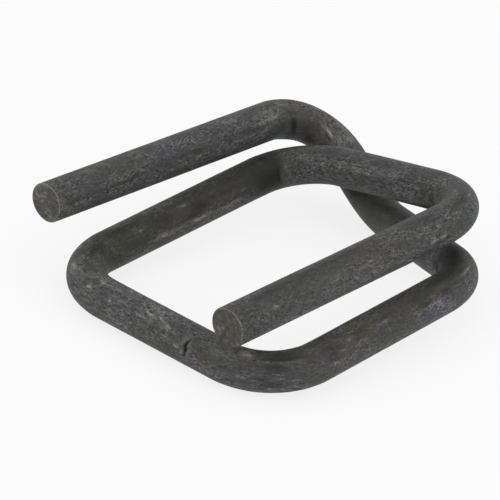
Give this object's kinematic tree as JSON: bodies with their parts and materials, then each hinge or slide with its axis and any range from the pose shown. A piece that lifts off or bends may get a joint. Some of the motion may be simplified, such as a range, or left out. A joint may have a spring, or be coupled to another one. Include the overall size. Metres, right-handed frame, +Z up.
{
  "type": "strapping buckle",
  "caption": "Bent round-wire strapping buckle: an open loop whose long side dips and crosses under the short side, with a free prong along each strap bar.",
  "frame": {"origin": "bottom centre of the bounding box, on the ground the buckle rests on", "axes": "+X along the strap bars and prongs, from the left side to the crossing sides; +Y from the front bar to the back bar; +Z up"},
  "size_m": [0.0364, 0.0298, 0.0097],
  "materials": {
    "wire": "matt dark grey phosphate with faint brown and olive mottling and fine draw marks"
  },
  "bodies": {
    "root": {"buckle_wire": "wire"}
  },
  "joints": []
}
